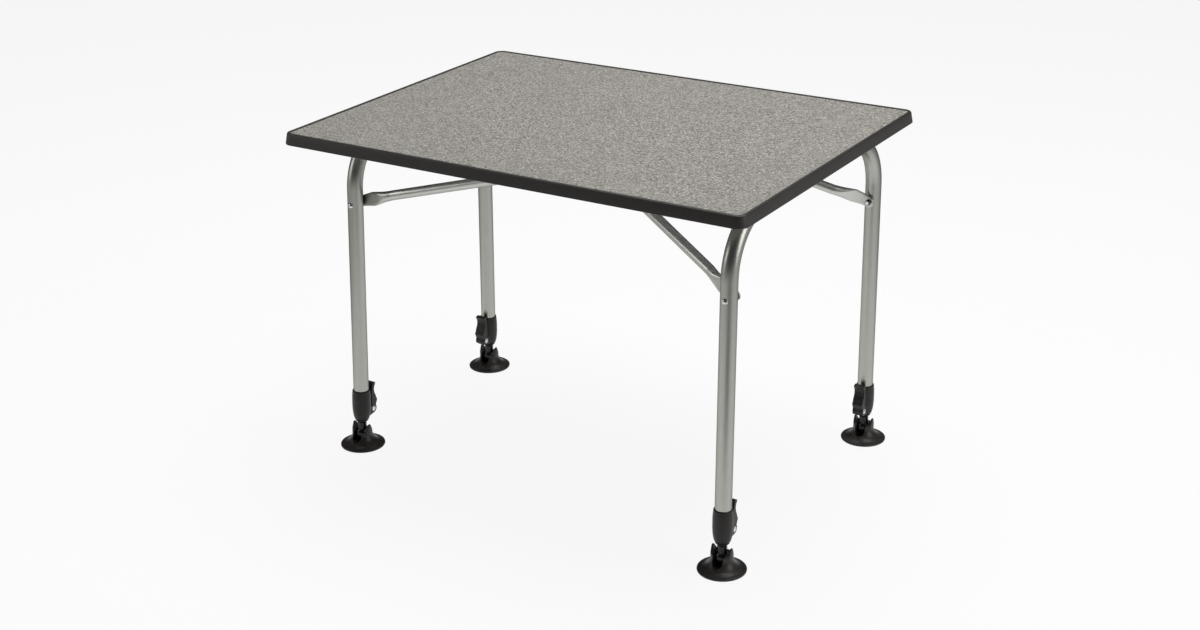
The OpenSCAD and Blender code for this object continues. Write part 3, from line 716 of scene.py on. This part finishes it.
def clamp_housing():
    """The moulded sleeve with its bead, its two ears and the window for the cam."""
    body = lathe("housing", [
        (LEG_R - 3, SLEEVE_LOW), (11.8, SLEEVE_LOW), (12.7, 50.0), (13.7, 53.5), (14.5, 58.0),
        (15.2, 64.0), (15.6, 71.0), (15.6, 87.0), (15.2, 94.0), (14.7, 97.4), (14.8, 98.8),
        (14.5, 100.3), (13.7, SLEEVE_TOP), (LEG_R - 3, SLEEVE_TOP)], CLAMP)
    for sx in (-1, 1):
        low, high = sorted((sx * (CAM_HALF + EAR_GAP), sx * LEVER_HALF))
        carve(body, across("ear", disc_at(PIN_U, PIN_H, EAR_R), low, high, CLAMP), "UNION")
        carve(body, across("web", [(8, 50), (PIN_U - 1, PIN_H - EAR_R),
                                   (PIN_U - 1, PIN_H + EAR_R - 1), (8, PIN_H + EAR_R - 1)],
                           low, high, CLAMP), "UNION")
    carve(body, slab("tube bore", circle(EXT_R + 0.06, 64), SLEEVE_LOW - 1, SLEEVE_TOP + 1,
                     CLAMP))
    carve(body, slab("leg bore", circle(LEG_R - 0.05, 64), LEG_END_H, SLEEVE_TOP + 20, CLAMP))
    carve(body, across("window", [(0, 50), (30, 50), (30, 71), (0, 71)],
                       -CAM_HALF - EAR_GAP, CAM_HALF + EAR_GAP, CLAMP))
    mould(body, voxel=0.5, passes=4, keep=0.6)
    return body


def clamp_lever():
    """The cam lever: a hollow-backed handle with a hooked end."""
    handle = [(16.3, 68), (16.3, 88), (17.0, 97), (19.4, 106.2), (20.6, 107.6), (27.0, 106.2),
              (26.6, 104.4), (23.8, 99), (23.0, 94.5), (24.4, 88), (28.0, 81), (29.5, 75),
              (29.5, 70), (26, 62)]
    lever = across("lever", handle, -LEVER_HALF, LEVER_HALF, CLAMP)
    carve(lever, across("knuckle", disc_at(25.8, 73.4, 5.0), -LEVER_HALF, LEVER_HALF, CLAMP),
          "UNION")
    carve(lever, across("ear room", disc_at(PIN_U, PIN_H, EAR_R + EAR_GAP),
                        -LEVER_HALF - 1, LEVER_HALF + 1, CLAMP))
    carve(lever, across("cam", disc_at(PIN_U - CAM_OFFSET, PIN_H, CAM_R),
                        -CAM_HALF, CAM_HALF, CLAMP), "UNION")
    carve(lever, across("cam web", [(16.5, 62), (16.5, 72), (29, 72), (28, 62)],
                        -CAM_HALF, CAM_HALF, CLAMP), "UNION")
    carve(lever, across("hollow", [(30, 84), (30, 103.5), (25.0, 103.5), (22.7, 98.5),
                                   (21.9, 94.5), (23.2, 88), (25.4, 84)],
                        -LEVER_HALF + 3, LEVER_HALF - 3, CLAMP))
    carve(lever, across("pin bore", disc_at(PIN_U, PIN_H, PIN_R + 0.06),
                        -LEVER_HALF - 1, LEVER_HALF + 1, CLAMP))
    mould(lever, voxel=0.45, passes=3, keep=0.6)
    return lever


def clamp_pin():
    """A steel pin with two domed heads over the ears."""
    dome_r = 5.6
    dome = arc(0, LEVER_HALF + PIN_HEAD_T - dome_r, dome_r, 49, 90, 10)
    half = [(0.0, 0.0), (PIN_R, 0.0), (PIN_R, LEVER_HALF), (PIN_HEAD_R, LEVER_HALF),
            (PIN_HEAD_R, LEVER_HALF + 0.5)] + [(r, max(z, LEVER_HALF + 0.5)) for r, z in dome]
    profile = [(r, -z) for r, z in reversed(half[2:])] + half[2:]
    pin = lathe("pin", profile, BRIGHT, 64)
    pin.data.transform(Matrix.Translation(Vector((0, -PIN_U, PIN_H)) * MM)
                       @ Matrix.Rotation(math.pi / 2, 4, "Y"))
    return pin


def clamps():
    made = {"clamp_housing": (clamp_housing(), "frame", "clamp_black", "clamp_sleeve"),
            "clamp_lever": (clamp_lever(), "lever", "clamp_black", "cam_lever"),
            "clamp_pin": (clamp_pin(), "frame", "bright_steel", "lever_pin")}
    for which, end in LEGS:
        leg = f"{which}_{end}"
        for node, (shape, carrier, slot_name, label) in made.items():
            body = f"{which}_frame" if carrier == "frame" else f"{leg}_lever"
            stand_in(copy_of(shape, f"{leg}_{label}", leg_matrix(which, end)),
                     body, f"{leg}_{node}")
    for shape, *_ in made.values():
        bpy.data.objects.remove(shape)


# Ball studs and extension tubes

def ball_studs():
    """Plug, neck and ball in one turned shape, and the inner tube's open end round it."""
    neck_low = BALL_H + math.sqrt(BALL_R ** 2 - NECK_R ** 2)
    plug_r = EXT_R - EXT_WALL - 0.06
    ball_top = math.degrees(math.acos(NECK_R / BALL_R))
    stud = lathe("stud", arc(0, BALL_H, BALL_R, -90, ball_top, 32) + [
        (NECK_R, neck_low + 1), (NECK_R, 41.6), (8.2, 43.0), (EXT_R - 1, 44.6),
        (EXT_R - 0.2, 45.6), (EXT_R - 0.2, 46.8), (plug_r, 46.8), (plug_r, PLUG_TOP - 1),
        (plug_r - 1, PLUG_TOP), (0.0, PLUG_TOP)], BALL)
    inner_r = EXT_R - EXT_WALL
    tube = lathe("tube", [(inner_r, SLEEVE_LOW), (EXT_R, SLEEVE_LOW), (EXT_R, EXT_TOP),
                          (inner_r, EXT_TOP)], LEG_TUBE)
    for which, end in LEGS:
        leg = f"{which}_{end}"
        stand_in(copy_of(stud, f"{leg}_turned_stud", leg_matrix(which, end)), f"{leg}_stud",
                 f"{leg}_ball_stud")
        stand_in(copy_of(tube, f"{leg}_inner_tube", leg_matrix(which, end)),
                 f"{leg}_extension", f"{leg}_extension_tube")
    bpy.data.objects.remove(stud)
    bpy.data.objects.remove(tube)


# Rim

RIM_WALL, RIM_SHELF, LIP_W = 5.0, 17.0, 5.8
RIM_LOW_R, RIM_TOP_R, LIP_R = 1.2, 2.5, 0.7


def rim_section():
    """The rim's section as (outwards from the corner's centre, up), in mm."""
    r, slant = RIM_CORNER_R, math.degrees(math.atan(RIM_DRAFT / RIM_H))
    groove, under, lip_in = r - RIM_WALL, r - RIM_SHELF, r - RIM_DRAFT - LIP_W
    board_low, lip_low = RIM_H - LIP_T - BOARD_T, RIM_H - LIP_T - LIP_REBATE
    return ([(under + 1, 0.0)]
            + arc(r - RIM_LOW_R, RIM_LOW_R, RIM_LOW_R, -90, slant, 6)
            + arc(r - RIM_DRAFT - RIM_TOP_R, RIM_H - RIM_TOP_R, RIM_TOP_R, slant, 90, 10)
            + arc(lip_in + LIP_R, RIM_H - LIP_R, LIP_R, 90, 180, 5)
            + [(lip_in, lip_low), (groove, lip_low), (groove, board_low),
               (under, board_low), (under, 1.0)])


def edge_rim():
    """The moulded rim: its section carried round the top's rounded corners."""
    corner_steps = 20
    section = rim_section()
    side_x, side_y = TOP_L / 2 - RIM_CORNER_R, TOP_W / 2 - RIM_CORNER_R
    rings = []
    for corner, (sx, sy) in enumerate(((1, 1), (-1, 1), (-1, -1), (1, -1))):
        for i in range(corner_steps + 1):
            turn = math.radians(90 * corner + 90 * i / corner_steps)
            out = Vector((math.cos(turn), math.sin(turn), 0))
            rings.append([Vector((sx * side_x, sy * side_y, TOP_H - RIM_H)) + r * out
                          + Vector((0, 0, z)) for r, z in section])
    stand_in(loft("moulded_edge_rim", rings, RIM, looped=True), "top", "edge_rim")


# Pivot bolts, nuts and spacers

NUT_START, NUT_T, NUT_CORNER_R = PLATE_FACE + PLATE_T + GAP, 5.0, 4.72
BOLT_R, BOLT_PITCH, BOLT_THREAD = 3.0, 1.0, 0.35
BOLT_HEAD_R, BOLT_HEAD_T, BOLT_DOME_R = 4.6, 2.8, 5.2
SPACER_R = 7.0


def threaded_rod(name, r, low, high, pitch, depth, finish, steps=36):
    """A rod with a helical thread, made of one ring per turn part along it."""
    parts = 10
    rings = []
    count = int((high - low) / pitch * parts)
    for i in range(count + 1):
        z = low + (high - low) * i / count
        ease = min(1.0, (z - low) / pitch, (high - z) / pitch)
        ring = []
        for j in range(steps):
            turn = 2 * math.pi * j / steps
            radius = r - depth * ease * abs(2 * ((z / pitch - j / steps) % 1.0) - 1)
            ring.append((radius * math.cos(turn), radius * math.sin(turn), z))
        rings.append(ring)
    return loft(name, rings, finish)


def pivot_hardware():
    """Domed bolts outside the legs, their threaded ends, hexagon nuts and spacers."""
    dome = arc(0, BOLT_HEAD_T - BOLT_DOME_R, BOLT_DOME_R, 32, 90, 14)
    head = lathe("head", [(r, BOLT_SEAT + z) for r, z in [(0.0, 0.0), (BOLT_HEAD_R, 0.0)] + dome],
                 BRIGHT, 64)
    shank = lathe("shank", [(0.0, -PLATE_FACE), (BOLT_R, -PLATE_FACE), (BOLT_R, BOLT_SEAT),
                            (0.0, BOLT_SEAT)], BRIGHT, 48)
    tip = threaded_rod("tip", BOLT_R, -NUT_START - NUT_T - 0.8, -PLATE_FACE, BOLT_PITCH,
                       BOLT_THREAD, BRIGHT)
    bolt = join([head, shank, tip])
    nut = lathe("nut", [(BOLT_R, 0.0), (4.0, 0.0), (4.7, 0.48), (4.7, NUT_T - 0.5),
                        (4.0, NUT_T), (BOLT_R, NUT_T)], DARK, 72)
    carve(nut, slab("hexagon", circle(NUT_CORNER_R, 6), -1, NUT_T + 1, DARK), "INTERSECT")
    spacer = lathe("spacer", [
        (BOLT_R, 0.0), (SPACER_R - 0.3, 0.0), (SPACER_R, 0.3), (SPACER_R, SPACER_T - 0.3),
        (SPACER_R - 0.3, SPACER_T), (BOLT_R, SPACER_T)], MOULDED, 64)
    bolt.data.transform(Matrix.Rotation(-math.pi / 2, 4, "X"))
    nut.data.transform(Matrix.Translation(Vector((0, -NUT_START, 0)) * MM)
                       @ Matrix.Rotation(math.pi / 2, 4, "X"))
    spacer.data.transform(Matrix.Translation(Vector((0, -BOLT_SEAT, 0)) * MM)
                          @ Matrix.Rotation(math.pi / 2, 4, "X"))
    made = {"pivot_bolts": (bolt, "bright_steel", "domed_bolt"),
            "pivot_nuts": (nut, "dark_steel", "hexagon_nut"),
            "pivot_spacers": (spacer, "moulded_black", "spacer")}
    for which, half in BOLT_Y.items():
        for node, (shape, slot_name, label) in made.items():
            for end, side in SIDES.items():
                at = (frame_matrix(which)
                      @ Matrix.Translation(Vector((0, side * half, -PIVOT_DROP)) * MM)
                      @ Matrix.Rotation(0 if side > 0 else math.pi, 4, "Z"))
                stand_in(copy_of(shape, f"{which}_{end}_{label}", at), f"{which}_frame",
                         f"{which}_{node}")
    for shape, *_ in made.values():
        bpy.data.objects.remove(shape)


# Mouldings and screws under the board

BOARD_BOTTOM = TOP_H - LIP_T - BOARD_T
BLOCK_Y, BLOCK_SCREW_X, FLANGE_T = {"right": 125.0, "left": 60.0}, 22.6, 4.0
CATCH_PLATE_T, CATCH_SCREW_OUT = 3.0, 21.7
RIGHT_BAR_X, RIGHT_CATCH_SCREW_Y = HINGE_X - RIGHT_REACH, 12.0
LEFT_BAR_X, LEFT_CATCH_Y = LEFT_REACH - HINGE_X - PIVOT_DROP * math.sin(LEAN), 94.0
SCREW_R, SCREW_IN, SCREW_PITCH, SCREW_THREAD = 1.75, 9.0, 1.3, 0.5
SCREW_HEAD_R, SCREW_HEAD_T, CROWN_R, HEAD_EDGE_R = 4.0, 2.4, 7.4, 1.5
RECESS_HALF, RECESS_END_Z = 0.45, -0.9


def mouldings():
    """Hinge blocks and brace catches: the part's own forms with moulded, rounded edges."""
    for part in frame["record"]["subparts"]:
        name = part["node"]
        if not name.endswith(("hinge_block", "brace_catch")):
            continue
        node = frame["nodes"][name]
        piece = bpy.data.objects.new(f"{name}_moulding", node.data.copy())
        bpy.context.scene.collection.objects.link(piece)
        piece.matrix_world = node.matrix_world.copy()
        mould(piece, voxel=0.5, passes=3, keep=0.4)
        finish_with(piece, MOULDED)
        stand_in(piece, "top", name)


def pan_screw():
    """A pan-head screw with a cross recess, its head's seat at the origin, driven upwards."""
    crown = arc(0, CROWN_R - SCREW_HEAD_T, CROWN_R, -90, -71, 5)
    edge = arc(SCREW_HEAD_R - HEAD_EDGE_R, HEAD_EDGE_R - SCREW_HEAD_T + 0.42, HEAD_EDGE_R,
               -50, 0, 6)
    head = lathe("head", crown + edge + [(SCREW_HEAD_R, -0.25), (SCREW_HEAD_R - 0.25, 0.0),
                                         (0.0, 0.0)], BRIGHT, 48)
    wing = [(-2.3, -SCREW_HEAD_T - 0.5), (2.3, -SCREW_HEAD_T - 0.5),
            (1.1, RECESS_END_Z), (-1.1, RECESS_END_Z)]
    for turn in (0, math.pi / 2):
        upright = Matrix.Rotation(turn, 4, "Z") @ Matrix.Rotation(math.pi / 2, 4, "X")
        carve(head, slab("wing", wing, -RECESS_HALF, RECESS_HALF, BRIGHT, upright))
    shank = threaded_rod("shank", SCREW_R, 0.0, FLANGE_T + SCREW_IN - 1.0, SCREW_PITCH,
                         SCREW_THREAD, BRIGHT, 16)
    smooth(head.data)
    return join([head, shank])


def screws():
    """Two screws in each hinge block, two in the right catch and one in each left catch."""
    block = [(sx * HINGE_X + out * BLOCK_SCREW_X, side * BLOCK_Y[which])
             for which, sx in (("right", 1), ("left", -1)) for side in (-1, 1)
             for out in (-1, 1)]
    catch = [(RIGHT_BAR_X + CATCH_SCREW_OUT, side * RIGHT_CATCH_SCREW_Y) for side in (-1, 1)]
    catch += [(LEFT_BAR_X - CATCH_SCREW_OUT, side * LEFT_CATCH_Y) for side in (-1, 1)]
    shape = pan_screw()
    for node, plate_t, places in (("hinge_block_screws", FLANGE_T, block),
                                  ("catch_screws", CATCH_PLATE_T, catch)):
        for i, (x, y) in enumerate(places):
            at = (Matrix.Translation(Vector((x, y, BOARD_BOTTOM - plate_t)) * MM)
                  @ Matrix.Rotation(0.7 + 1.9 * i, 4, "Z"))
            stand_in(copy_of(shape, f"{node[:-1]}_{i}", at), "top", node)
    bpy.data.objects.remove(shape)


def build_pieces():
    for which in HALF:
        leg_frame(which)
        brace(which)
    feet()
    clamps()
    ball_studs()
    edge_rim()
    pivot_hardware()
    mouldings()
    screws()


# Stage

FLOOR_HALF = 14.0
FLOOR_WHITE, WHITE_SHARE = 0.90, 0.90
WORLD_LIGHT, GLOSS_ROOM, GLOSS_PATCH = 0.02747, 0.05088, 0.01119


def dark_spot(tree, where, middle, dark_at, light_at, least):
    """A factor of least where the distance from middle is dark_at, and 1 at light_at."""
    away = add(tree, "ShaderNodeVectorMath", {0: where, 1: middle}, operation="DISTANCE")
    return add(tree, "ShaderNodeMapRange",
               {"Value": away.outputs["Value"], "From Min": dark_at, "From Max": light_at,
                "To Min": least, "To Max": 1.0},
               interpolation_type="SMOOTHSTEP").outputs["Result"]


def stage_floor():
    """A pale floor that runs into a white background and keeps the table's soft shadow."""
    mesh = bpy.data.meshes.new("floor")
    mesh.from_pydata([(-FLOOR_HALF, -FLOOR_HALF, 0), (FLOOR_HALF, -FLOOR_HALF, 0),
                      (FLOOR_HALF, FLOOR_HALF, 0), (-FLOOR_HALF, FLOOR_HALF, 0)],
                     [], [(0, 1, 2, 3)])
    floor = bpy.data.objects.new("floor", mesh)
    bpy.context.scene.collection.objects.link(floor)
    made = bpy.data.materials.new("pale floor")
    made.use_nodes = True
    tree = made.node_tree
    shader = tree.nodes["Principled BSDF"]
    plug(tree, shader, {"Base Color": (FLOOR_WHITE, FLOOR_WHITE, FLOOR_WHITE, 1),
                        "Roughness": 0.9, "Specular IOR Level": 0.1})
    path = add(tree, "ShaderNodeLightPath")
    where = add(tree, "ShaderNodeTexCoord").outputs["Object"]
    # Painted shade in reflections: two dark patches on the floor that only gloss sees, darkest low
    # in front of the table, so that the mirroring tubes show dark stripes. The camera sees the
    # floor evenly white.
    painted_reflection_shade = add(tree, "ShaderNodeMath",
                {0: dark_spot(tree, where, middle=(0.85, -1.0, 0.0), dark_at=0.22,
                              light_at=0.60, least=0.10),
                 1: dark_spot(tree, where, middle=(0.25, -0.25, 0.0), dark_at=1.60,
                              light_at=0.85, least=0.45)},
                operation="MULTIPLY")
    tone = add(tree, "ShaderNodeMix", {0: path.outputs["Is Camera Ray"],
                                       2: painted_reflection_shade.outputs[0], 3: 1.0}, data_type="FLOAT")
    white = add(tree, "ShaderNodeEmission", {"Strength": tone.outputs[0]})
    seen = add(tree, "ShaderNodeMath", {0: path.outputs["Is Camera Ray"],
                                        1: path.outputs["Is Glossy Ray"]}, operation="MAXIMUM")
    share = add(tree, "ShaderNodeMath", {0: seen.outputs[0], 1: WHITE_SHARE}, operation="MULTIPLY")
    mixed = add(tree, "ShaderNodeMixShader",
                {0: share.outputs[0], 1: shader.outputs[0], 2: white.outputs[0]})
    tree.links.new(mixed.outputs[0], tree.nodes["Material Output"].inputs["Surface"])
    mesh.materials.append(made)


def world_light():
    """Faint light from all round. The camera sees it white, and gloss sees a dark room
    that is darker still low in front of the table, where the tubes mirror it."""
    world = bpy.data.worlds.new("studio")
    bpy.context.scene.world = world
    world.use_nodes = True
    tree = world.node_tree
    background = tree.nodes["Background"]
    background.inputs["Color"].default_value = (1, 1, 1, 1)
    direction = add(tree, "ShaderNodeTexCoord").outputs["Generated"]
    front = Vector((0.50, -0.86, -0.05)).normalized()
    facing = add(tree, "ShaderNodeVectorMath", {0: direction, 1: front},
                 operation="DOT_PRODUCT")
    ahead = add(tree, "ShaderNodeMapRange",
                {"Value": facing.outputs["Value"], "From Min": 0.35, "From Max": 0.95},
                interpolation_type="SMOOTHSTEP")
    upward = add(tree, "ShaderNodeSeparateXYZ", {0: direction})
    low = add(tree, "ShaderNodeMapRange",
              {"Value": upward.outputs["Z"], "From Min": 0.30, "From Max": 0.05},
              interpolation_type="SMOOTHSTEP")
    patch = add(tree, "ShaderNodeMath", {0: ahead.outputs["Result"], 1: low.outputs["Result"]},
                operation="MULTIPLY")
    dim = add(tree, "ShaderNodeMapRange", {"Value": patch.outputs[0], "To Min": GLOSS_ROOM,
                                           "To Max": GLOSS_PATCH})
    path = add(tree, "ShaderNodeLightPath")
    lit = add(tree, "ShaderNodeMix",
              {0: path.outputs["Is Glossy Ray"], 2: WORLD_LIGHT, 3: dim.outputs["Result"]},
              data_type="FLOAT").outputs[0]
    seen = add(tree, "ShaderNodeMix", {0: path.outputs["Is Camera Ray"], 2: lit, 3: 1.0},
               data_type="FLOAT").outputs[0]
    tree.links.new(seen, background.inputs["Strength"])


def soft_lamp(name, at, aim, size, power):
    data = bpy.data.lights.new(name, "AREA")
    data.shape = "RECTANGLE"
    data.size, data.size_y = size
    data.energy = power
    lamp = bpy.data.objects.new(name, data)
    lamp.location = at
    lamp.rotation_euler = (Vector(aim) - Vector(at)).to_track_quat("-Z", "Y").to_euler()
    bpy.context.scene.collection.objects.link(lamp)


def light_studio():
    middle = (0.0, 0.0, 0.35)
    soft_lamp("overhead softbox", (0.1, 0.5, 3.0), middle, (2.6, 2.0), 78)
    soft_lamp("right softbox", (3.0, 0.2, 1.5), middle, (1.4, 2.0), 30)
    soft_lamp("left softbox", (-2.4, -1.8, 1.4), middle, (1.2, 1.8), 14)


bpy.context.scene.view_settings.view_transform = "Standard"
make_camera()
stage_floor()
world_light()
light_studio()
dress_nodes()
build_pieces()
